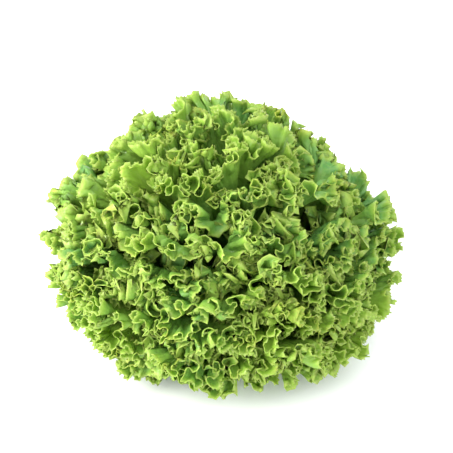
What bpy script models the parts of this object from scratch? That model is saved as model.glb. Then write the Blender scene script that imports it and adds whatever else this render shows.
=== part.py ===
# A head of curly leaf lettuce, standing on its cut stem: one stem and forty-six ruffled leaves.
# Metres, +Z up. The origin is the middle of the stem's cut face, on the surface that the head stands on.
# Leaves are numbered from the heart outwards. A leaf's place in the head runs from 0, heart, to 1, outermost.

import math
import random

import bpy
import numpy as np

# The head
LEAF_COUNT = 46
GOLDEN_TURN = math.radians(137.508)  # each leaf grows this far round from the one before it
HALF_SPREAD = math.radians(67.0)  # half of the turn that one leaf covers
CROWN_RADIUS = 0.134  # axis to the leaves' margins, where the head is widest
CROWN_MIDDLE = 0.083  # height of the widest place
CROWN_TOP = 0.176  # height of the margins over the heart
CROWN_LOW = 0.012  # height of the outermost margins
HEART_ANGLE = math.radians(2.0)  # from the axis to the innermost margin
LOW_ANGLE = math.radians(150.0)  # from the axis to the outermost margin
HEART_CROWDING = 1.14  # above 1, margins stand closer together towards the heart
HIGH_FULLNESS = 0.80  # under 1, the head's upper half is fuller than an ellipse
LOW_FULLNESS = 0.32  # the same for its lower half

# The stem
STEM_RADIUS = 0.0185
STEM_SHOULDER = 0.026  # height where the stem starts to narrow
STEM_TOP = 0.080
ROOT_HIGH = 0.0785  # height of the innermost leaf's root
ROOT_LOW = 0.010  # height of the outermost leaf's root
ROOT_GAP = 0.0005  # between a leaf's root and the stem
ROOT_SLIDE = 0.012  # how far a root point may slide along its leaf to meet the stem
SLIDE_STEPS = 30  # halvings of that slide
STEM_SIDES = 28
STEM_RINGS = 9
CUT_CHAMFER = 0.0012

# Where a leaf leaves the stem and where it ends, as angles from straight up
HEART_ROOT_LEAN, OUTER_ROOT_LEAN = math.radians(6.0), math.radians(72.0)
HEART_TIP_LEAN, OUTER_TIP_LEAN = math.radians(-6.0), math.radians(112.0)
BEND = 0.36  # how far each end's direction is felt, as a share of the leaf's length

# A leaf's outline: shares of HALF_SPREAD across and of the leaf's length along
ROOT_SHARE = 0.54
FAN_ANGLE = math.radians(76.0)
SIDE_MIDDLE, SIDE_SWING, SIDE_TURN = 0.90, 0.10, math.radians(150.0)
OPENING = 1.6  # above 1, the veins run along the rib before they fan out
RIB_SHARE = 0.34  # half width of the thick rib, as a share of the half width
RIB_TAPER = 1.4  # above 1, the rib thins sooner on its way out
LOBE_COUNTS = (3.0, 5.0)  # lobes over half a leaf, least and most
LOBE_START = 3.0  # above 1, the lobes keep to the outer part of the leaf
LOBE = 0.09  # how far the bays between lobes cut in, as a share of the length
REACH = (0.96, 1.03)  # shortest and longest leaf, as a share of the way to the head's outside

# Thickness and ruffles
BLADE = 0.0011
ROOT_THICKNESS = 0.0016
ROOT_ROOM = 0.0026  # space to the next leaf at the root
PLACES_APART = 2  # the next leaf that covers this one's sides is this many places on
MIDDLE_ROOM = 1.5  # a leaf's middle has this much more space than its sides
MIDDLE_EDGE = 0.28  # half width of that middle, as a share of the half width
MIDDLE_SHARPNESS = 6  # an even number: higher makes the middle end more suddenly
SWAY_ROOM = 0.66  # the share of the space that is left where leaves heave together
WAVE_SHARE = 0.40  # how much of that space a leaf's own waves take
WAVE_WEIGHTS = (0.7, 0.3)  # of the long and the short wave
WAVE_COUNTS = ((3.2, 4.4), (6.5, 8.0))  # waves over half a leaf, least and most
WAVE_START = 2.4  # above 1, the waves keep to the outer part of the leaf
PLEAT_SHARE = 0.88  # how much of the space the deepest pleats take
PLEAT_CHANGE = 0.35  # the shallowest pleats are this share less deep
PLEAT_START = 0.80  # share of the way out where the pleats begin
TOOTH = 0.0030  # how far the margin's crests stand out past its hollows, each way
PLEAT_PITCH = 0.0122  # along the margin, between a crest and a hollow
SIDE_LENGTH = 0.050  # the margin's length down a leaf's two sides
MIN_ROOT_COLUMNS = 3
ROWS = ((0.0, 1), (0.30, 1), (0.56, 2), (0.78, 4), (0.90, 8), (1.0, 8))  # share of the way out, columns

# Uneven growth, the same for all leaves, so that they stay nested
SWAY = 0.095  # how far neighbouring leaves heave together, as a change of their place in the head
# Weight, waves round the head, twist and phase of each heave
HEAVES = ((0.40, 4, 3.0, 0.5), (0.25, 7, -4.0, 2.0), (0.20, 11, 3.0, 4.0), (0.15, 17, -3.0, 1.0))
WIDTHS = (1.035, 0.985)  # the head is a little wider along X than along Y
SWELL = (0.60, -0.20)  # how much wider it grows for each metre towards +X and +Y, near the ground
SWELL_FADE = 1.0  # the share of that swell which is gone at the top
BULGE = 0.006  # how far its sides wander
BULGE_WAVES = ((34.0, 0.6), (31.0, 2.1))  # radians for each metre and phase, for X and Y
DIP = (0.05, 0.04)  # how far its top wanders along X and Y, as a share of the height
DIP_WAVES = ((27.0, 1.1), (29.0, 0.3))
TOP_LEAN = -0.022  # how far the top leans along X

SHARP_ANGLE = math.radians(50)  # edges sharper than this aren't shaded smooth
SEED = 41
HEART_LEAVES = 8  # the leaves that have the heart's pale colour


def stem_radius(z):
    """The stem's radius at a height: straight below the shoulder, rounded off above it."""
    above = np.clip((np.asarray(z) - STEM_SHOULDER) / (STEM_TOP - STEM_SHOULDER), 0.0, 1.0)
    return STEM_RADIUS * np.sqrt(1.0 - above**2)


def mix(a, b, share):
    return a + (b - a) * share


def margin_point(place):
    """Where the rib of a leaf at this place meets the head's outside, in the radius and height plane."""
    angle = mix(HEART_ANGLE, LOW_ANGLE, place**HEART_CROWDING)
    upper = angle < math.pi / 2
    depth = (CROWN_MIDDLE - CROWN_LOW) / -math.cos(LOW_ANGLE)
    radius = CROWN_RADIUS * np.sin(angle) ** np.where(upper, HIGH_FULLNESS, LOW_FULLNESS)
    height = CROWN_MIDDLE + np.cos(angle) * np.where(upper, CROWN_TOP - CROWN_MIDDLE, depth)
    return np.stack([radius, height], axis=-1)


def heading(angle):
    """Directions in the radius and height plane, from their angles off straight up."""
    return np.stack([np.sin(angle), np.cos(angle)], axis=-1)


def leaf_profile(place):
    """The four Bezier points of a leaf's rib in the radius and height plane, for an array of places."""
    root_height = mix(ROOT_HIGH, ROOT_LOW, place)
    root = np.stack([stem_radius(root_height) + ROOT_GAP, root_height], axis=-1)
    tip = margin_point(place)
    pull = BEND * np.linalg.norm(tip - root, axis=-1, keepdims=True)
    from_root = root + pull * heading(mix(HEART_ROOT_LEAN, OUTER_ROOT_LEAN, place))
    to_tip = tip - pull * heading(mix(HEART_TIP_LEAN, OUTER_TIP_LEAN, place))
    return root, from_root, to_tip, tip


def along_profile(profile, y):
    """Points and unit directions at shares y of the way along profiles."""
    a, b, c, d = profile
    y = y[:, None]
    w = 1.0 - y
    point = a * w**3 + 3 * b * w**2 * y + 3 * c * w * y**2 + d * y**3
    slope = (b - a) * w**2 + 2 * (c - b) * w * y + (d - c) * y**2
    return point, slope / np.linalg.norm(slope, axis=1)[:, None]


def wave(along, rate_and_phase):
    rate, phase = rate_and_phase
    return np.sin(rate * along + phase)


def settle(points):
    """The head's uneven growth: a gentle warp of the space it fills, which leaves the cut face flat."""
    x, y, z = points.T
    rise = z / CROWN_TOP
    swell = 1 + (SWELL[0] * x + SWELL[1] * y) * (1 - SWELL_FADE * rise)
    x, y = WIDTHS[0] * x * swell, WIDTHS[1] * y * swell
    x_bulge, y_bulge = (BULGE * wave(along, side) for along, side in zip((y, x), BULGE_WAVES))
    x_dip, y_dip = (share * wave(along, side) for share, along, side in zip(DIP, (x, y), DIP_WAVES))
    return np.stack(
        [x + rise * (x_bulge + TOP_LEAN * rise), y + rise * y_bulge, z * (1 + x_dip + y_dip)],
        axis=1,
    )


def leaf_grid(columns):
    """Rows of vertex numbers from root to margin, each vertex's shares out and across, and the triangles."""
    rows, out, across, triangles = [], [], [], []
    for share, factor in ROWS:
        count = columns * factor // ROWS[-1][1]
        rows.append(range(len(out), len(out) + count + 1))
        out += [share] * (count + 1)
        across += [2.0 * i / count - 1.0 for i in range(count + 1)]
    for low, high in zip(rows, rows[1:]):
        if len(low) == len(high):
            for i in range(len(low) - 1):
                corners = (low[i], low[i + 1], high[i + 1], high[i])
                first = i % 2
                triangles.append((corners[first], corners[first + 1], corners[first + 2]))
                triangles.append((corners[first], corners[first + 2], corners[(first + 3) % 4]))
        else:
            for i in range(len(low) - 1):
                triangles.append((low[i], high[2 * i + 1], high[2 * i]))
                triangles.append((low[i], low[i + 1], high[2 * i + 1]))
                triangles.append((low[i + 1], high[2 * i + 2], high[2 * i + 1]))
    return rows, np.array(out), np.array(across), triangles


def rim_of(rows):
    """The vertex numbers round a leaf: along its root, up a side, back along the margin, down the other."""
    up = [row[-1] for row in rows[1:-1]]
    down = [row[0] for row in rows[1:-1]][::-1]
    return [*rows[0], *up, *reversed(rows[-1]), *down]


def slide_to_stem(point, direction):
    """Moves root points along the leaf until they stand ROOT_GAP clear of the stem."""
    near = np.full(len(point), -ROOT_SLIDE)
    far = np.full(len(point), ROOT_SLIDE)
    for _ in range(SLIDE_STEPS):
        middle = (near + far) / 2
        tried = point + middle[:, None] * direction
        inside = tried[:, 0] < stem_radius(tried[:, 1]) + ROOT_GAP
        near, far = np.where(inside, middle, near), np.where(inside, far, middle)
    return point + far[:, None] * direction


def sway(angle, place, y):
    """How far the leaves' places shift together, so that their layers heave but stay nested."""
    heave = sum(
        weight * np.sin(turns * angle + twist * place + phase) for weight, turns, twist, phase in HEAVES
    )
    return SWAY * heave * y**2 * math.sqrt(math.sin(math.pi * place))


def margin_room(place):
    """The space at the margin between a leaf's sides and the next leaf that covers them."""
    step = 0.5 / LEAF_COUNT
    before, after = margin_point(np.array([place - step, place + step]))
    return SWAY_ROOM * PLACES_APART * np.linalg.norm(after - before)


def pleat_columns(place):
    """How many columns a leaf's margin has: a whole number of times the factor of the last row."""
    length = 2 * HALF_SPREAD * float(margin_point(np.array(place))[0]) + SIDE_LENGTH
    factor = ROWS[-1][1]
    return factor * max(MIN_ROOT_COLUMNS, round(length / PLEAT_PITCH / factor))


def make_leaf(number):
    """One leaf: a fan of triangles laid on its own layer of the head, waved, pleated and thickened."""
    draw = random.Random(SEED + number)
    place = (number - 0.5) / LEAF_COUNT
    turn = number * GOLDEN_TURN
    reach = draw.uniform(*REACH)
    phases = [draw.uniform(0, 2 * math.pi) for _ in WAVE_WEIGHTS]
    counts = [draw.uniform(*limits) for limits in WAVE_COUNTS]
    lobe_count, lobe_phase = draw.uniform(*LOBE_COUNTS), draw.uniform(0, 2 * math.pi)

    rows, out, across, triangles = leaf_grid(pleat_columns(place))
    x = mix(ROOT_SHARE * across, np.sin(across * FAN_ANGLE), out**OPENING)
    bays = (1.0 - np.sin(math.pi * lobe_count * across + lobe_phase)) / 2
    lobes = 1.0 - LOBE * out**LOBE_START * bays
    y = out * reach * lobes * (SIDE_MIDDLE + SIDE_SWING * np.cos(across * SIDE_TURN))
    angle = turn + HALF_SPREAD * x

    middle_share = np.exp(-((x / MIDDLE_EDGE) ** MIDDLE_SHARPNESS))
    room = margin_room(place) * mix(1.0, MIDDLE_ROOM, middle_share)
    half_room = mix(ROOT_ROOM, room, np.minimum(y, 1.0)) / 2
    waves = sum(
        weight * np.sin(math.pi * count * across + phase)
        for weight, count, phase in zip(WAVE_WEIGHTS, counts, phases)
    )
    spacing = np.sqrt(np.cos(across * FAN_ANGLE))  # of pleats: less towards the sides, where columns crowd
    depths = [1.0 - PLEAT_CHANGE * draw.random() for _ in rows[-1]]
    pleat_side = np.concatenate([np.where(np.arange(len(row)) % 2, 1.0, -1.0) for row in rows])
    pleat_side[list(rows[-1])] *= depths
    pleat_side *= spacing
    pleated = np.clip((out - PLEAT_START) / (1.0 - PLEAT_START), 0.0, 1.0)
    lift = half_room * (WAVE_SHARE * waves * out**WAVE_START + PLEAT_SHARE * pleat_side * pleated)

    profile = leaf_profile(place + sway(angle, place, y))
    tooth = TOOTH * pleat_side * (out == 1.0) / np.linalg.norm(profile[3], axis=1)
    middle, direction = along_profile(profile, y + tooth)
    normal = np.stack([direction[:, 1], -direction[:, 0]], axis=1)
    rib = np.exp(-((across / RIB_SHARE) ** 2)) * (1 - out) ** RIB_TAPER
    thickness = mix(BLADE, ROOT_THICKNESS, rib)

    sheets = []
    root = list(rows[0])
    for face in (0.5, -0.5):
        plane = middle + normal * (lift + face * thickness)[:, None]
        plane[root] = slide_to_stem(plane[root], direction[root])
        radius, height = plane.T
        sheets.append(np.stack([radius * np.cos(angle), radius * np.sin(angle), height], axis=1))

    count = len(out)
    rim = rim_of(rows)
    faces = [tuple(triangle) for triangle in triangles]
    faces += [(a + count, c + count, b + count) for a, b, c in triangles]
    for a, b in zip(rim, rim[1:] + rim[:1]):
        faces.append((b, a, a + count))
        faces.append((b, a + count, b + count))
    return add_mesh(f"leaf_{number:02d}", settle(np.concatenate(sheets)), faces)


def make_stem():
    """The cut stem: a short straight stump with a flat cut face, rounded off towards the heart."""
    heights = [0.0, CUT_CHAMFER]
    heights += [mix(CUT_CHAMFER, STEM_TOP, i / STEM_RINGS) for i in range(1, STEM_RINGS)]
    radii = [STEM_RADIUS - CUT_CHAMFER, *stem_radius(heights[1:])]
    angles = [2 * math.pi * i / STEM_SIDES for i in range(STEM_SIDES)]
    points = [(r * math.cos(a), r * math.sin(a), z) for r, z in zip(radii, heights) for a in angles]
    points += [(0.0, 0.0, 0.0), (0.0, 0.0, STEM_TOP)]
    foot, apex = len(points) - 2, len(points) - 1
    faces = []
    for i in range(STEM_SIDES):
        j = (i + 1) % STEM_SIDES
        faces.append((foot, j, i))
        for ring in range(len(heights) - 1):
            low, high = ring * STEM_SIDES, (ring + 1) * STEM_SIDES
            faces.append((low + i, low + j, high + j))
            faces.append((low + i, high + j, high + i))
        last = (len(heights) - 1) * STEM_SIDES
        faces.append((last + i, last + j, apex))
    return add_mesh("stem", settle(np.array(points)), faces)


def add_mesh(name, points, faces):
    mesh = bpy.data.meshes.new(name)
    mesh.from_pydata([tuple(p) for p in points], [], faces)
    mesh.validate()
    mesh.shade_smooth()
    mesh.set_sharp_from_angle(angle=SHARP_ANGLE)
    piece = bpy.data.objects.new(name, mesh)
    bpy.context.scene.collection.objects.link(piece)
    return piece


def material(name, colour, roughness):
    made = bpy.data.materials.new(name)
    made.use_nodes = True
    shader = made.node_tree.nodes["Principled BSDF"]
    shader.inputs["Base Color"].default_value = (*colour, 1.0)
    shader.inputs["Roughness"].default_value = roughness
    shader.inputs["Metallic"].default_value = 0.0
    return made


def main():
    for old in list(bpy.data.objects):
        bpy.data.objects.remove(old)
    flesh = material("stem_flesh", (0.72, 0.78, 0.50), 0.55)
    heart = material("heart_leaf", (0.50, 0.66, 0.16), 0.42)
    outer = material("outer_leaf", (0.27, 0.47, 0.06), 0.42)
    make_stem().data.materials.append(flesh)
    for number in range(1, LEAF_COUNT + 1):
        make_leaf(number).data.materials.append(heart if number <= HEART_LEAVES else outer)


main()
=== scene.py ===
import math
import random

import bpy
import numpy as np
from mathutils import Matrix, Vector


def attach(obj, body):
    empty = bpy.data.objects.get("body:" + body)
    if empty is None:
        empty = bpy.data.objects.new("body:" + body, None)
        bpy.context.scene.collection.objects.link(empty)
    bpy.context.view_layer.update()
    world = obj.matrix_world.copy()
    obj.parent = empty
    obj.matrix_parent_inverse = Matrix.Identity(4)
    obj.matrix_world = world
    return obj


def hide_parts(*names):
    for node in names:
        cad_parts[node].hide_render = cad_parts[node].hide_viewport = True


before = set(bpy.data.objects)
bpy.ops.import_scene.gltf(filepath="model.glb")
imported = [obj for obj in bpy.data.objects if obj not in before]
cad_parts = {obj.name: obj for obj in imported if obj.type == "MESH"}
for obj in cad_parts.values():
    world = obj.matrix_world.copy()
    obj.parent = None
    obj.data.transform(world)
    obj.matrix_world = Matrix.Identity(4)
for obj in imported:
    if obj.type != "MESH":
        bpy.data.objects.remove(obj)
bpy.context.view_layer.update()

# The finished look of a head of curly leaf lettuce, standing on its cut stem. Metres, +Z up.
# Each leaf grows from a flat pattern onto its own layer of the head, by one Geometry Nodes tree,
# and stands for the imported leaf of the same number. The stem is turned about the head's axis.

leafNames = sorted(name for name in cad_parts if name.startswith("leaf_"))
leafCount = len(leafNames)
print("leaves in the frame:", leafCount)


# Node trees written as expressions

# A socket that can be added, multiplied and so on. Each step adds its Math node.
class Wire:
    def __init__(self, bench, socket):
        self.bench = bench
        self.socket = socket

    def other(self, out):  # another output of the same node
        return Wire(self.bench, self.socket.node.outputs[out])

    def maths(self, operation, *values):
        return self.bench.make("ShaderNodeMath", {"operation": operation}, dict(enumerate(values)))

    def vectors(self, operation, *values):
        sockets = dict(enumerate((self, *values)))
        return self.bench.make("ShaderNodeVectorMath", {"operation": operation}, sockets)

    def scaled(self, amount):
        return self.bench.make("ShaderNodeVectorMath", {"operation": "SCALE"}, {0: self, "Scale": amount})

    def __add__(self, value):
        return self.maths("ADD", self, value)

    def __radd__(self, value):
        return self.maths("ADD", value, self)

    def __sub__(self, value):
        return self.maths("SUBTRACT", self, value)

    def __rsub__(self, value):
        return self.maths("SUBTRACT", value, self)

    def __mul__(self, value):
        return self.maths("MULTIPLY", self, value)

    def __rmul__(self, value):
        return self.maths("MULTIPLY", value, self)

    def __truediv__(self, value):
        return self.maths("DIVIDE", self, value)

    def __pow__(self, value):
        return self.maths("POWER", self, value)

    def __rpow__(self, value):
        return self.maths("POWER", value, self)

    def __neg__(self):
        return self.maths("MULTIPLY", self, -1.0)

    def __lt__(self, value):
        return self.maths("LESS_THAN", self, value)

    def sin(self):
        return self.maths("SINE", self)

    def cos(self):
        return self.maths("COSINE", self)

    def root(self):
        return self.maths("SQRT", self)

    def size(self):  # without its sign
        return self.maths("ABSOLUTE", self)

    def above(self, value):
        return self.maths("MAXIMUM", self, value)

    def below(self, value):
        return self.maths("MINIMUM", self, value)

    def held(self):  # kept between 0 and 1
        return self.above(0.0).below(1.0)


# A node tree being written. Every node comes from make().
class Bench:
    def __init__(self, tree):
        self.tree = tree

    def make(self, kind, settings=None, sockets=None, out=0):
        node = self.tree.nodes.new(kind)
        for name, value in (settings or {}).items():
            setattr(node, name, value)
        for name, value in (sockets or {}).items():
            if isinstance(value, Wire):
                self.tree.links.new(value.socket, node.inputs[name])
            else:
                node.inputs[name].default_value = value
        return Wire(self, node.outputs[out]) if out is not None else node

    def attribute(self, name, kind="FLOAT"):
        return self.make("GeometryNodeInputNamedAttribute", {"data_type": kind}, {"Name": name})

    def vector(self, x, y, z):
        return self.make("ShaderNodeCombineXYZ", {}, {0: x, 1: y, 2: z})

    def noise(self, along, detail=1.0):  # about 0.5, along one line
        sockets = {"W": along, "Scale": 1.0, "Detail": detail}
        return self.make("ShaderNodeTexNoise", {"noise_dimensions": "1D"}, sockets)

    def spread(self, spot, scale, detail=2.0, out=0):  # noise about 0.5, in space
        sockets = {"Vector": spot, "Scale": scale, "Detail": detail}
        return self.make("ShaderNodeTexNoise", {}, sockets, out)

    def mixColour(self, share, first, second):
        settings = {"data_type": "RGBA", "blend_type": "MIX", "clamp_factor": True}
        colours = {6: first, 7: second}
        whole = {key: value if isinstance(value, Wire) else (*value, 1.0) for key, value in colours.items()}
        return self.make("ShaderNodeMix", settings, {0: share, **whole}, out=2)


def blend(first, second, share):
    return first + share * (second - first)


def steeper(value, start, gain):  # how far a value is past its start, times the gain
    return (value - start) * gain


# The head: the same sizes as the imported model's, so that every fine leaf keeps its layer

head = {
    "goldenTurn": math.radians(137.508),  # each leaf grows this far round from the one before it
    "halfSpread": math.radians(67.0),     # half of the turn that one leaf covers
    "crownRadius": 0.134,
    "crownMiddle": 0.083,                 # height where the head is widest
    "crownTop": 0.176,
    "crownLow": 0.012,
    "heartAngle": math.radians(2.0),      # from the axis to the innermost margin
    "lowAngle": math.radians(150.0),      # from the axis to the outermost margin
    "heartCrowding": 1.14,
    "highFullness": 0.80,
    "lowFullness": 0.32,
    "rootLean": (math.radians(6.0), math.radians(72.0)),   # heart and outermost
    "tipLean": (math.radians(-6.0), math.radians(112.0)),
    "bend": 0.36,                         # share of a leaf's chord over which it turns to each lean
    "sway": 0.095,                        # neighbours heave together by this change of place
    # Share, waves round the head, drift from leaf to leaf, start
    "heaves": ((0.40, 4, 3.0, 0.5), (0.25, 7, -4.0, 2.0), (0.20, 11, 3.0, 4.0), (0.15, 17, -3.0, 1.0)),
    "widths": (1.035, 0.985),             # the whole head along X and Y
    "swell": (0.60, -0.20),               # how much fuller the head is towards +X and +Y
    "swellFade": 1.0,
    "bulge": 0.006,                       # slow unevenness of the whole head, sideways
    "bulgeWaves": ((34.0, 0.6), (31.0, 2.1)),
    "dip": (0.05, 0.04),                  # and in height
    "dipWaves": ((27.0, 1.1), (29.0, 0.3)),
    "topLean": -0.022,                    # how far the top leans along X
    "heartLeaves": 8,                     # these have the paler finish
    "seed": 41,
}

stem = {
    "radius": 0.0185,
    "shoulder": 0.026,   # height where it starts to narrow
    "top": 0.080,
    "rootHigh": 0.0785,  # height of the innermost leaf's root
    "rootLow": 0.010,
    "rootGap": 0.0005,
}

leaf = {
    "rootShare": 0.54,
    "fanAngle": math.radians(76.0),
    "sideMiddle": 0.90,
    "sideSwing": 0.10,
    "sideTurn": math.radians(150.0),
    "opening": 1.6,        # how late along its length a leaf fans out
    "lobeCounts": (3.0, 5.0),
    "lobeStart": 3.0,
    "lobe": 0.09,
    "reach": (0.96, 1.03),
    "rootRoom": 0.0026,    # space to the next leaf at the root
    "placesApart": 2,      # leaves that share one layer's room
    "middleRoom": 1.5,
    "middleEdge": 0.28,
    "swayRoom": 0.66,
    "waveShare": 0.40,
    "waveWeights": (0.7, 0.3),
    "waveCounts": ((3.2, 4.4), (6.5, 8.0)),
    "waveStart": 2.4,
    "sideLength": 0.050,   # the margin's length down a leaf's two sides
    "ribSlack": 1.1,       # the rib's length over its chord's
    "thickness": 0.00042,
}


# A leaf's tip: radius and height. The sine and cosine are a wire's own, or Python's for plain numbers.
def marginPoint(place, sine=Wire.sin, cosine=Wire.cos):
    angle = blend(head["heartAngle"], head["lowAngle"], place ** head["heartCrowding"])
    upper = angle < math.pi / 2
    depth = (head["crownMiddle"] - head["crownLow"]) / -math.cos(head["lowAngle"])
    fullness = blend(head["lowFullness"], head["highFullness"], upper)
    radius = head["crownRadius"] * sine(angle) ** fullness
    rise = blend(depth, head["crownTop"] - head["crownMiddle"], upper)
    return radius, head["crownMiddle"] + cosine(angle) * rise


def marginPlace(place):
    return Vector(marginPoint(place, math.sin, math.cos))


def leafProfile(place):
    rootHeight = blend(stem["rootHigh"], stem["rootLow"], place)
    narrowing = ((rootHeight - stem["shoulder"]) / (stem["top"] - stem["shoulder"])).held()
    rootRadius = stem["radius"] * (1.0 - narrowing * narrowing).root() + stem["rootGap"]
    tipRadius, tipHeight = marginPoint(place)
    across, up = tipRadius - rootRadius, tipHeight - rootHeight
    pull = head["bend"] * (across * across + up * up).root()
    rootLean = blend(*head["rootLean"], place)
    tipLean = blend(*head["tipLean"], place)
    radii = (rootRadius, rootRadius + pull * rootLean.sin(), tipRadius - pull * tipLean.sin(), tipRadius)
    heights = (rootHeight, rootHeight + pull * rootLean.cos(), tipHeight - pull * tipLean.cos(), tipHeight)
    return radii, heights


# The place and the slope at y on a curve with these four handles
def alongCurve(handles, y):
    a, b, c, d = handles
    w = 1.0 - y
    point = a * w * w * w + 3 * b * w * w * y + 3 * c * w * y * y + d * y * y * y
    slope = (b - a) * w * w + 2 * (c - b) * w * y + (d - c) * y * y
    return point, slope


def settle(x, y, z):
    rise = z / head["crownTop"]
    swell = 1.0 + (head["swell"][0] * x + head["swell"][1] * y) * (1.0 - head["swellFade"] * rise)
    x, y = head["widths"][0] * x * swell, head["widths"][1] * y * swell
    (xRate, xPhase), (yRate, yPhase) = head["bulgeWaves"]
    (dipRateX, dipPhaseX), (dipRateY, dipPhaseY) = head["dipWaves"]
    xBulge = head["bulge"] * (xRate * y + xPhase).sin()
    yBulge = head["bulge"] * (yRate * x + yPhase).sin()
    xDip = head["dip"][0] * (dipRateX * x + dipPhaseX).sin()
    yDip = head["dip"][1] * (dipRateY * y + dipPhaseY).sin()
    return x + rise * (xBulge + head["topLean"] * rise), y + rise * yBulge, z * (1.0 + xDip + yDip)


# One leaf's flat pattern: a fan whose columns double towards the margin

pattern = {
    "pitch": 0.00035,      # between columns along the margin, before it is frilled
    "leastColumns": 10,    # of the coarsest columns
    "insets": (            # distance in from the margin, and how many columns for each coarse one
        (0.0000, 8), (0.0016, 8), (0.0036, 8),
        (0.0062, 4), (0.0092, 4), (0.0128, 4),
        (0.0175, 2), (0.0230, 2), (0.0295, 2), (0.0370, 2), (0.0460, 1),
    ),
    "rootSteps": 4,        # rows from there to the root
    "marks": 201,          # places at which the margin's length is measured
}


def patternRows(ribLength):
    rows = [(1.0 - inset / ribLength, factor) for inset, factor in pattern["insets"]]
    last = rows[-1][0]
    rows += [(last * (1.0 - step / pattern["rootSteps"]), 1) for step in range(1, pattern["rootSteps"] + 1)]
    return rows[::-1]


def makePattern(name, tipArc, ribLength):
    most = pattern["insets"][0][1]
    marks = np.linspace(-1.0, 1.0, pattern["marks"])
    passed = tipArc * np.sin(marks * leaf["fanAngle"]) + marks * leaf["sideLength"] / 2
    marginLength = passed[-1] - passed[0]
    coarse = max(pattern["leastColumns"], round(marginLength / pattern["pitch"] / most))
    rows, out, across, faces, inner = [], [], [], [], []
    for share, factor in patternRows(ribLength):
        count = coarse * factor
        start = len(out)
        rows.append(range(start, start + count + 1))
        out += [share] * (count + 1)
        across += list(np.interp(np.linspace(passed[0], passed[-1], count + 1), passed, marks))
        if len(rows) == 1:
            inner += list(rows[0])
        else:
            low = rows[-2]
            inner += [low[round(i * (len(low) - 1) / count)] for i in range(count + 1)]
    for low, high in zip(rows, rows[1:]):
        if len(low) == len(high):
            faces += [(low[i], low[i + 1], high[i + 1], high[i]) for i in range(len(low) - 1)]
        else:
            for i in range(len(low) - 1):
                faces.append((low[i], high[2 * i + 1], high[2 * i]))
                faces.append((low[i], low[i + 1], high[2 * i + 1]))
                faces.append((low[i + 1], high[2 * i + 2], high[2 * i + 1]))
    mesh = bpy.data.meshes.new(name)
    points = [(a * marginLength / 2, o * ribLength, 0.0) for a, o in zip(across, out)]
    mesh.from_pydata(points, [], faces)
    before = np.concatenate([np.maximum(np.array(row) - 1, row[0]) for row in rows])
    after = np.concatenate([np.minimum(np.array(row) + 1, row[-1]) for row in rows])
    tooth = np.zeros(len(out))
    tooth[list(rows[-1])[1:-1:2]] = 1.0
    inset = (1.0 - np.array(out)) * ribLength
    floats = {"out": out, "across": across, "inset": inset, "tooth": tooth}
    whole = {"before": before, "after": after, "inner": inner}
    for key, values in floats.items():
        mesh.attributes.new(key, "FLOAT", "POINT").data.foreach_set("value", np.array(values, np.float32))
    for key, values in whole.items():
        mesh.attributes.new(key, "INT", "POINT").data.foreach_set("value", np.array(values, np.int32))
    piece = bpy.data.objects.new(name, mesh)
    bpy.context.scene.collection.objects.link(piece)
    return piece


# The tree that grows a leaf from its pattern

# Ruffles, from the broadest to the finest, with wavelengths along the margin before it is frilled
ruffles = (
    {"wave": 0.0200, "depth": 0.0080, "fold": 0.0018, "reach": 0.034, "sharpness": 1.8},
    {"wave": 0.0056, "depth": 0.0038, "fold": 0.0009, "reach": 0.028, "sharpness": 1.4},
    {"wave": 0.0024, "depth": 0.0015, "fold": 0.0003, "reach": 0.0070, "sharpness": 1.1},
)

margin = {
    "warp": 0.0060,        # how far all leaves bend together, unevenly
    "warpSize": 0.022,
    "rollPlaces": (0.0, 0.12, 0.30, 0.66, 1.0),
    "rolls": (-0.005, 0.005, 0.011, 0.0, -0.006),   # how far the margin rolls outwards there
    "rollReach": 0.028,
    "ragged": 0.15,        # how much a margin's reach changes along it
    "raggedWave": 0.011,
    "raggedDetail": 2.0,
    "raggedShift": 5.3,    # each leaf starts this much further along the noise, as for the shifts below
    "wander": 0.36,        # how far the ruffles' spacing wanders, in waves
    "wanderWave": 2.1,     # over this many waves
    "unevenness": 0.4,     # how much their depth differs
    "unevenWave": 1.3,
    "unevenShift": 50.0,
    "leafShift": 3.7,
    "orderShift": 17.0,
    "sideDepth": 0.50,     # the ruffles' depth at a leaf's two sides, where leaves lie closer
    "heartFrill": 0.85,    # the innermost leaf's share of the full frill
    "frillGrowth": 1.2,
    "tooth": 0.0014,
    "biteLeast": 0.4,      # the smallest teeth, as a share of that
    "biteSpread": 1.2,
    "biteWave": 0.0035,
    "biteShift": 9.1,
    "blister": 0.0022,     # relief of the blade between its veins
    "blisterSize": 0.008,
    "blisterInset": 0.012,
}

leafInputs = (
    "Place", "Turn", "Reach", "Lobe count", "Lobe phase", "Room", "Tip arc", "Roll", "Frill size",
    "Long count", "Long phase", "Short count", "Short phase", "Seed",
)


def swayedPlace(place, angle, y, calm):
    waves = [w * (n * angle + t * place + p).sin() for w, n, t, p in head["heaves"]]
    return place + head["sway"] * calm * sum(waves[1:], waves[0]) * y * y


# From one point of the mesh to another, both given by their index
def direction(bench, geometry, first, second):
    position = bench.make("GeometryNodeInputPosition")
    settings = {"data_type": "FLOAT_VECTOR", "domain": "POINT"}
    ends = []
    for index in (first, second):
        sockets = {"Geometry": geometry, "Value": position, "Index": index}
        ends.append(bench.make("GeometryNodeSampleIndex", settings, sockets))
    return ends[1].vectors("SUBTRACT", ends[0]).vectors("NORMALIZE")


def moved(bench, geometry, offset):
    return bench.make("GeometryNodeSetPosition", {}, {"Geometry": geometry, "Offset": offset})


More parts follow.
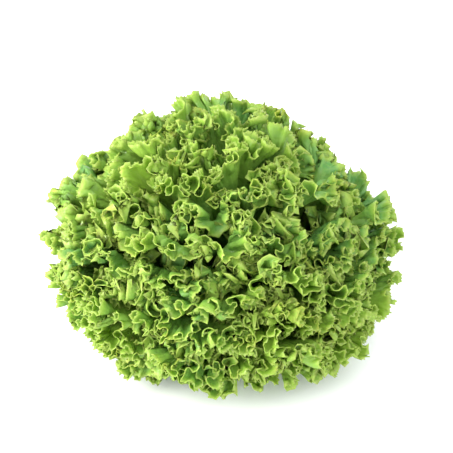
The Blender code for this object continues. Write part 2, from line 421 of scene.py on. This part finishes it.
def ruffle(bench, geometry, given, along, inset, size, order, ease):
    before, after = bench.attribute("before", "INT"), bench.attribute("after", "INT")
    tangent = direction(bench, geometry, before, after)
    normal = bench.make("GeometryNodeInputNormal")
    shift = given["Seed"] * margin["leafShift"] + margin["orderShift"] * order
    drift = bench.noise(along / (size["wave"] * margin["wanderWave"]) + shift) * margin["wander"] * 2
    turns = (along / size["wave"] + drift) * (2 * math.pi)
    uneven = bench.noise(along / (size["wave"] * margin["unevenWave"]) + shift + margin["unevenShift"]) - 0.5
    fade = (1.0 - inset / size["reach"]).held() ** size["sharpness"]
    strength = (1.0 + margin["unevenness"] * 2 * uneven) * fade * given["Frill size"] * ease
    push, pull = size["depth"] * strength, size["fold"] * strength
    offset = normal.scaled(push * turns.sin()).vectors("ADD", tangent.scaled(-(pull * (turns * 2.0).sin())))
    return moved(bench, geometry, offset)


def growLeafTree():
    tree = bpy.data.node_groups.new("growLeaf", "GeometryNodeTree")
    tree.interface.new_socket(name="Geometry", in_out="INPUT", socket_type="NodeSocketGeometry")
    for name in leafInputs:
        tree.interface.new_socket(name=name, in_out="INPUT", socket_type="NodeSocketFloat")
    tree.interface.new_socket(name="Material", in_out="INPUT", socket_type="NodeSocketMaterial")
    tree.interface.new_socket(name="Geometry", in_out="OUTPUT", socket_type="NodeSocketGeometry")
    bench = Bench(tree)
    entry = bench.make("NodeGroupInput")
    given = {name: entry.other(name) for name in (*leafInputs, "Geometry", "Material")}

    out, across, inset = (bench.attribute(name) for name in ("out", "across", "inset"))
    fan = (across * leaf["fanAngle"]).sin()
    x = blend(leaf["rootShare"] * across, fan, out ** leaf["opening"])
    bays = (1.0 - (math.pi * given["Lobe count"] * across + given["Lobe phase"]).sin()) / 2.0
    lobes = 1.0 - leaf["lobe"] * out ** leaf["lobeStart"] * bays
    sides = leaf["sideMiddle"] + leaf["sideSwing"] * (across * leaf["sideTurn"]).cos()
    along = fan * given["Tip arc"] + across * (leaf["sideLength"] / 2)
    notches = along / margin["raggedWave"] + given["Seed"] * margin["raggedShift"]
    notches = bench.noise(notches, margin["raggedDetail"]) - 0.5
    ragged = 1.0 + notches * margin["ragged"] * out * out * out
    y = out * given["Reach"] * lobes * sides * ragged
    angle = given["Turn"] + head["halfSpread"] * x

    calm = (math.pi * given["Place"]).sin().root()
    radii, heights = leafProfile(swayedPlace(given["Place"], angle, y, calm))
    radius, outward = alongCurve(radii, y)
    height, upward = alongCurve(heights, y)
    slope = (outward * outward + upward * upward).root()

    edge = x / leaf["middleEdge"]
    edge = edge * edge
    middleShare = math.e ** -(edge * edge * edge)
    room = given["Room"] * blend(1.0, leaf["middleRoom"], middleShare)
    halfRoom = blend(leaf["rootRoom"], room, y.below(1.0)) / 2.0
    longWave = (math.pi * given["Long count"] * across + given["Long phase"]).sin()
    shortWave = (math.pi * given["Short count"] * across + given["Short phase"]).sin()
    waves = leaf["waveWeights"][0] * longWave + leaf["waveWeights"][1] * shortWave
    lift = halfRoom * leaf["waveShare"] * waves * out ** leaf["waveStart"]
    radius = radius + lift * upward / slope
    height = height - lift * outward / slope
    place = bench.vector(*settle(radius * angle.cos(), radius * angle.sin(), height))
    bent = bench.spread(place, 1.0 / margin["warpSize"], 1.0, out=1)
    bend = bent.vectors("SUBTRACT", bench.vector(0.5, 0.5, 0.5)).scaled(y * (2 * margin["warp"]))
    place = place.vectors("ADD", bend)
    sheet = bench.make("GeometryNodeSetPosition", {}, {"Geometry": given["Geometry"], "Position": place})

    rolled = (1.0 - inset / margin["rollReach"]).held()
    normal = bench.make("GeometryNodeInputNormal")
    sheet = moved(bench, sheet, normal.scaled(rolled * rolled * given["Roll"]))
    ease = blend(margin["sideDepth"], 1.0, (across * leaf["fanAngle"]).cos())
    for order, size in enumerate(ruffles):
        sheet = ruffle(bench, sheet, given, along, inset, size, order, ease)

    position = bench.make("GeometryNodeInputPosition")
    blister = bench.spread(position, 1.0 / margin["blisterSize"], 1.0) - 0.5
    flat = (inset / margin["blisterInset"]).held()
    sheet = moved(bench, sheet, normal.scaled(blister * flat * out * (2 * margin["blister"])))

    here = bench.make("GeometryNodeInputIndex")
    point = direction(bench, sheet, bench.attribute("inner", "INT"), here)
    bite = bench.noise(along / margin["biteWave"] + given["Seed"] * margin["biteShift"])
    bite = margin["biteLeast"] + margin["biteSpread"] * bite
    teeth = bench.attribute("tooth") * bite * given["Frill size"] * margin["tooth"]
    sheet = moved(bench, sheet, point.scaled(teeth))

    smooth = bench.make("GeometryNodeSetShadeSmooth", {}, {"Geometry": sheet})
    whole = bench.make("GeometryNodeRealizeInstances", {}, {"Geometry": smooth})
    done = bench.make("GeometryNodeSetMaterial", {}, {"Geometry": whole, "Material": given["Material"]})
    bench.make("NodeGroupOutput", {}, {"Geometry": done}, out=None)
    return tree


# The pattern's piece gets the grown and thickened mesh, with no modifier left on it
def grow(piece, tree, values):
    growing = piece.modifiers.new("growLeaf", "NODES")
    growing.node_group = tree
    for item in tree.interface.items_tree:
        if item.in_out == "INPUT" and item.name in values:
            growing[item.identifier] = values[item.name]
    thicken = piece.modifiers.new("thickness", "SOLIDIFY")
    thicken.thickness = leaf["thickness"]
    thicken.offset = 0.0
    graph = bpy.context.evaluated_depsgraph_get()
    grown = bpy.data.meshes.new_from_object(piece.evaluated_get(graph), depsgraph=graph)
    piece.modifiers.clear()
    piece.data = grown
    return piece


def makeLeaf(number, tree, finish):
    draw = random.Random(head["seed"] + number)
    place = (number - 0.5) / leafCount
    reach = draw.uniform(*leaf["reach"])
    phases = [draw.uniform(0, 2 * math.pi) for _ in leaf["waveWeights"]]
    counts = [draw.uniform(*limits) for limits in leaf["waveCounts"]]
    lobeCount, lobePhase = draw.uniform(*leaf["lobeCounts"]), draw.uniform(0, 2 * math.pi)
    step = 0.5 / leafCount
    apart = (marginPlace(place + step) - marginPlace(place - step)).length
    tip = marginPlace(place)
    tipArc = head["halfSpread"] * tip.x
    rootHeight = blend(stem["rootHigh"], stem["rootLow"], place)
    ribLength = leaf["ribSlack"] * (tip - Vector((stem["radius"] / 2, rootHeight))).length
    piece = makePattern(f"leaf_{number:02d}_fine", tipArc, ribLength)
    values = {
        "Place": place,
        "Turn": number * head["goldenTurn"],
        "Reach": reach,
        "Lobe count": lobeCount,
        "Lobe phase": lobePhase,
        "Room": leaf["swayRoom"] * leaf["placesApart"] * apart,
        "Tip arc": tipArc,
        "Roll": float(np.interp(place, margin["rollPlaces"], margin["rolls"])),
        "Frill size": min(1.0, margin["heartFrill"] + margin["frillGrowth"] * place),
        "Long count": counts[0],
        "Long phase": phases[0],
        "Short count": counts[1],
        "Short phase": phases[1],
        "Seed": float(number),
        "Material": finish,
    }
    return grow(piece, tree, values)


# Finishes. A pair of values is where a noise starts to show, and how fast it then rises.

leafFinish = {
    "rimWidth": 0.0028,
    "bandWidth": 0.0055,
    "rim": (0.43, 0.52, 0.12),
    "ripe": (0.51, 0.52, 0.08),
    "band": (0.31, 0.49, 0.059),
    "cool": (0.112, 0.31, 0.072),
    "warm": (0.27, 0.44, 0.045),
    "rib": (0.42, 0.58, 0.12),
    "heartPaleness": 0.35,
    "broadScale": 11.0,
    "mottleScale": 38.0,
    "puckerScale": 190.0,
    "fineScale": 420.0,
    "warmPatches": (0.35, 3.0),
    "lightPatches": (0.55, 2.0),
    "ripePatches": (0.55, 6.0),
    "rimPatches": (0.30, 3.0),
    "wetPatches": (0.48, 5.0),
    "ribWidth": 0.05,      # share of half the leaf
    "veinTurns": 14.0,
    "veinLines": (0.85, 6.0),
    "ribShare": 0.8,
    "veinShare": 0.5,
    "netScale": 170.0,     # the net of the smallest veins
    "netBend": 0.003,
    "netRise": 4.0,
    "netShare": 0.18,
    "reliefStrength": 0.5,
    "reliefDistance": 0.0009,
    "fineRelief": 0.2,
    "netRelief": 0.5,
    "roughness": 0.40,
    "roughnessSpread": 0.12,
    "index": 1.40,
    "specular": 0.35,
    "wetness": 0.7,
    "wetRoughness": 0.12,
    "through": (0.51, 0.73, 0.09),
    "throughShare": 0.7,
    "glow": 0.30,          # share of the light that comes through the blade
}


def makeLeafFinish(name, paleness):
    finish = bpy.data.materials.new(name)
    finish.use_nodes = True
    finish.node_tree.nodes.clear()
    bench = Bench(finish.node_tree)
    size = leafFinish

    inset, out, across = (
        bench.make("ShaderNodeAttribute", {"attribute_name": key}, out="Fac")
        for key in ("inset", "out", "across")
    )
    spot = bench.make("ShaderNodeTexCoord", out="Object")
    mottle = bench.spread(spot, size["mottleScale"], 3.0)
    fine = bench.spread(spot, size["fineScale"])
    broad = bench.spread(spot, size["broadScale"], 1.0)
    pucker = bench.spread(spot, size["puckerScale"])
    net = {
        "Vector": spot.vectors("ADD", pucker.other("Color").scaled(size["netBend"])),
        "Scale": size["netScale"],
    }
    cell = (bench.make("ShaderNodeTexVoronoi", {"feature": "DISTANCE_TO_EDGE"}, net) * size["netRise"]).held()

    rim = (1.0 - inset / size["rimWidth"]).held()
    band = (1.0 - inset / size["bandWidth"]).held()
    ribs = (1.0 - (across / size["ribWidth"]).size()).held() * (1.0 - out)
    lines = (across * size["veinTurns"]).sin().size()
    veins = steeper(lines, *size["veinLines"]).held() * (1.0 - out)
    veined = ribs * size["ribShare"] + veins * size["veinShare"] + size["netShare"] * (1.0 - cell)

    deep = bench.mixColour(steeper(broad, *size["warmPatches"]), size["cool"], size["warm"])
    base = bench.mixColour(steeper(mottle, *size["lightPatches"]), deep, size["band"])
    base = bench.mixColour(band, base, size["band"])
    base = bench.mixColour(veined.held(), base, size["rib"])
    base = bench.mixColour(paleness, base, size["band"])
    edge = bench.mixColour(steeper(mottle, *size["ripePatches"]), size["rim"], size["ripe"])
    base = bench.mixColour(rim * steeper(fine, *size["rimPatches"]).held(), base, edge)

    relief = bench.make("ShaderNodeBump", {}, {
        "Strength": size["reliefStrength"],
        "Distance": size["reliefDistance"],
        "Height": pucker + size["fineRelief"] * fine + size["netRelief"] * cell,
    })
    shader = bench.make("ShaderNodeBsdfPrincipled", {}, {
        "Base Color": base,
        "Roughness": size["roughness"] + size["roughnessSpread"] * (fine - 0.5),
        "Normal": relief,
        "IOR": size["index"],
        "Specular IOR Level": size["specular"],
        "Coat Weight": size["wetness"] * steeper(pucker, *size["wetPatches"]).held(),
        "Coat Roughness": size["wetRoughness"],
    })
    through = bench.mixColour(size["throughShare"], base, size["through"])
    glow = bench.make("ShaderNodeBsdfTranslucent", {}, {"Color": through, "Normal": relief})
    whole = bench.make("ShaderNodeMixShader", {}, {0: size["glow"], 1: shader, 2: glow})
    bench.make("ShaderNodeOutputMaterial", {}, {"Surface": whole}, out=None)
    return finish


leafTree = growLeafTree()
outerFinish = makeLeafFinish("outerLeaf", 0.0)
heartFinish = makeLeafFinish("heartLeaf", leafFinish["heartPaleness"])
triangles = 0
for number in range(1, leafCount + 1):
    node = f"leaf_{number:02d}"
    inHeart = number <= head["heartLeaves"]
    piece = makeLeaf(number, leafTree, heartFinish if inHeart else outerFinish)
    triangles += sum(len(face.vertices) - 2 for face in piece.data.polygons)
    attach(piece, "root")
    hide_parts(node)
print("leaves grown:", leafCount, "with", triangles, "triangles")


# The cut stem, with the scars of the leaves and its browned cut face

stemFinish = {
    "chamfer": 0.0015,
    "sides": 120,
    "rings": 72,
    "faceRings": 24,
    "dish": 0.0008,        # how far the cut face is hollowed
    "scar": 0.0009,        # depth of the grooves over the leaf scars
    "scarWidth": 0.0016,
    "flesh": (0.55, 0.62, 0.34),
    "side": (0.50, 0.61, 0.27),
    "pith": (0.62, 0.65, 0.42),
    "browned": (0.24, 0.19, 0.07),
    "mottleScale": 160.0,
    "streakScale": 700.0,
    "streakStretch": 0.12,
    "streakStart": 0.35,
    "ring": 0.72,          # place of the ring of bundles, as a share of the radius
    "ringWidth": 0.07,
    "bundles": (0.5, 8.0),
    "fleshEdge": (0.154, 1.3),
    "brownStart": 0.62,
    "brownEdge": 0.55,
    "brownBundles": 0.35,
    "brownRise": 2.2,
    "reliefStrength": 0.4,
    "reliefDistance": 0.0005,
    "roughness": 0.42,
    "brownRoughness": 0.25,
    "softness": 0.15,
    "softDepth": 0.004,
}


def stemRadius(height):
    above = max(0.0, (height - stem["shoulder"]) / (stem["top"] - stem["shoulder"]))
    return stem["radius"] * math.sqrt(max(0.0, 1.0 - above * above))


# Each leaf's root leaves one groove, so the grooves wind round the stem as the leaves do
def scarDepth(angle, height):
    depth = 0.0
    for number in range(1, leafCount + 1):
        rootHeight = blend(stem["rootHigh"], stem["rootLow"], (number - 0.5) / leafCount)
        turn = (angle - number * head["goldenTurn"] + math.pi) % (2 * math.pi) - math.pi
        rise = height - rootHeight + stemFinish["scarWidth"] * turn * turn
        depth = max(depth, (1.0 - (rise / stemFinish["scarWidth"]) ** 2) * math.cos(turn / 2))
    return depth * stemFinish["scar"]


def makeStemMesh():
    sides, chamfer = stemFinish["sides"], stemFinish["chamfer"]
    angles = [2 * math.pi * i / sides for i in range(sides)]
    flat = stem["radius"] - chamfer
    points = [(0.0, 0.0, stemFinish["dish"])]
    for step in range(1, stemFinish["faceRings"] + 1):
        share = step / stemFinish["faceRings"]
        height = stemFinish["dish"] * (1.0 - share ** 4)
        points += [(flat * share * math.cos(a), flat * share * math.sin(a), height) for a in angles]
    for step in range(stemFinish["rings"]):
        height = blend(chamfer, stem["top"], step / stemFinish["rings"])
        for a in angles:
            radius = stemRadius(height) - (scarDepth(a, height) if step else 0.0)
            points.append((radius * math.cos(a), radius * math.sin(a), height))
    points.append((0.0, 0.0, stem["top"]))
    faces = []
    rows = stemFinish["faceRings"] + stemFinish["rings"]
    for i in range(sides):
        j = (i + 1) % sides
        faces.append((0, 1 + j, 1 + i))
        for row in range(rows - 1):
            low, high = 1 + row * sides, 1 + (row + 1) * sides
            faces.append((low + i, low + j, high + j, high + i))
        last = 1 + (rows - 1) * sides
        faces.append((last + i, last + j, len(points) - 1))
    mesh = bpy.data.meshes.new("stem_fine")
    mesh.from_pydata(points, [], faces)
    mesh.polygons.foreach_set("use_smooth", [True] * len(faces))
    return mesh


def makeStemFinish():
    finish = bpy.data.materials.new("stemFlesh")
    finish.use_nodes = True
    finish.node_tree.nodes.clear()
    bench = Bench(finish.node_tree)
    size = stemFinish
    spot = bench.make("ShaderNodeTexCoord", out="Object")
    x = bench.make("ShaderNodeSeparateXYZ", {}, {0: spot}, out="X")
    y, z = x.other("Y"), x.other("Z")
    away = (x * x + y * y).root() / stem["radius"]
    mottle = bench.spread(spot, size["mottleScale"], 4.0)
    streaks = bench.spread(bench.vector(x, y, z * size["streakStretch"]), size["streakScale"])

    onFace = (1.0 - z / size["chamfer"]).held()
    ring = (1.0 - (away - size["ring"]).size() / size["ringWidth"]).held()
    bundles = ring * steeper(mottle, *size["bundles"]).held()
    flesh = bench.mixColour(steeper(away, *size["fleshEdge"]).held(), size["pith"], size["flesh"])
    brown = mottle + away * size["brownEdge"] + bundles * size["brownBundles"] - size["brownStart"]
    brown = (onFace * brown * size["brownRise"]).held()
    base = bench.mixColour((streaks - size["streakStart"]).held(), size["side"], size["pith"])
    base = bench.mixColour(onFace, base, flesh)
    base = bench.mixColour(brown, base, size["browned"])

    relief = bench.make("ShaderNodeBump", {}, {
        "Strength": size["reliefStrength"],
        "Distance": size["reliefDistance"],
        "Height": mottle + streaks,
    })
    shader = bench.make("ShaderNodeBsdfPrincipled", {}, {
        "Base Color": base,
        "Roughness": size["roughness"] + size["brownRoughness"] * brown,
        "Normal": relief,
        "Subsurface Weight": size["softness"],
        "Subsurface Scale": size["softDepth"],
    })
    bench.make("ShaderNodeOutputMaterial", {}, {"Surface": shader}, out=None)
    return finish


stemPiece = bpy.data.objects.new("stem_fine", makeStemMesh())
stemPiece.data.materials.append(makeStemFinish())
bpy.context.scene.collection.objects.link(stemPiece)
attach(stemPiece, "root")
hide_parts("stem")
print("stem turned and cut")


# The stage: a pale floor, soft light and the photo's angle

stage = {
    "aim": Vector((0.003, 0.0, 0.098)),
    "elevation": math.radians(31.0),
    "distance": 0.853,
    "lens": 85.0,
    "lights": (            # name, place, size, power and colour
        ("key", (-0.95, -0.25, 0.85), 0.60, 9.0, (1.0, 0.985, 0.95)),
        ("fill", (0.9, -0.9, 0.7), 1.2, 3.0, (0.95, 0.98, 1.0)),
        ("side", (-0.95, -0.55, 0.35), 0.60, 11.5, (1.0, 0.99, 0.96)),
    ),
    "sky": (0.97, 0.985, 1.0, 1.0),
    "skyStrength": 1.98,
    "floorReach": 6.0,
    "floorColour": (0.93, 0.94, 0.95, 1.0),
    "floorRoughness": 0.6,
}


def placeCamera():
    view = bpy.data.objects.new("camera", bpy.data.cameras.new("camera"))
    view.data.lens = stage["lens"]
    back = Vector((0.0, -math.cos(stage["elevation"]), math.sin(stage["elevation"])))
    view.location = stage["aim"] + back * stage["distance"]
    view.rotation_euler = (-back).to_track_quat("-Z", "Y").to_euler()
    bpy.context.scene.collection.objects.link(view)
    bpy.context.scene.camera = view


def placeLight(name, place, size, power, colour):
    lamp = bpy.data.objects.new(name, bpy.data.lights.new(name, "AREA"))
    lamp.data.size = size
    lamp.data.energy = power
    lamp.data.color = colour
    lamp.location = place
    lamp.rotation_euler = (stage["aim"] - Vector(place)).to_track_quat("-Z", "Y").to_euler()
    bpy.context.scene.collection.objects.link(lamp)


def makeFloor():
    mesh = bpy.data.meshes.new("floor")
    reach = stage["floorReach"]
    corners = [(-reach, -reach, 0), (reach, -reach, 0), (reach, reach, 0), (-reach, reach, 0)]
    mesh.from_pydata(corners, [], [(0, 1, 2, 3)])
    floor = bpy.data.objects.new("floor", mesh)
    bpy.context.scene.collection.objects.link(floor)
    paint = bpy.data.materials.new("floorPaint")
    paint.use_nodes = True
    shader = paint.node_tree.nodes["Principled BSDF"]
    shader.inputs["Base Color"].default_value = stage["floorColour"]
    shader.inputs["Roughness"].default_value = stage["floorRoughness"]
    mesh.materials.append(paint)


def lightSky():
    world = bpy.data.worlds.new("studio")
    world.use_nodes = True
    sky = world.node_tree.nodes["Background"]
    sky.inputs["Color"].default_value = stage["sky"]
    sky.inputs["Strength"].default_value = stage["skyStrength"]
    bpy.context.scene.world = world
    bpy.context.scene.view_settings.view_transform = "Standard"


placeCamera()
for light in stage["lights"]:
    placeLight(*light)
makeFloor()
lightSky()
print("stage set")
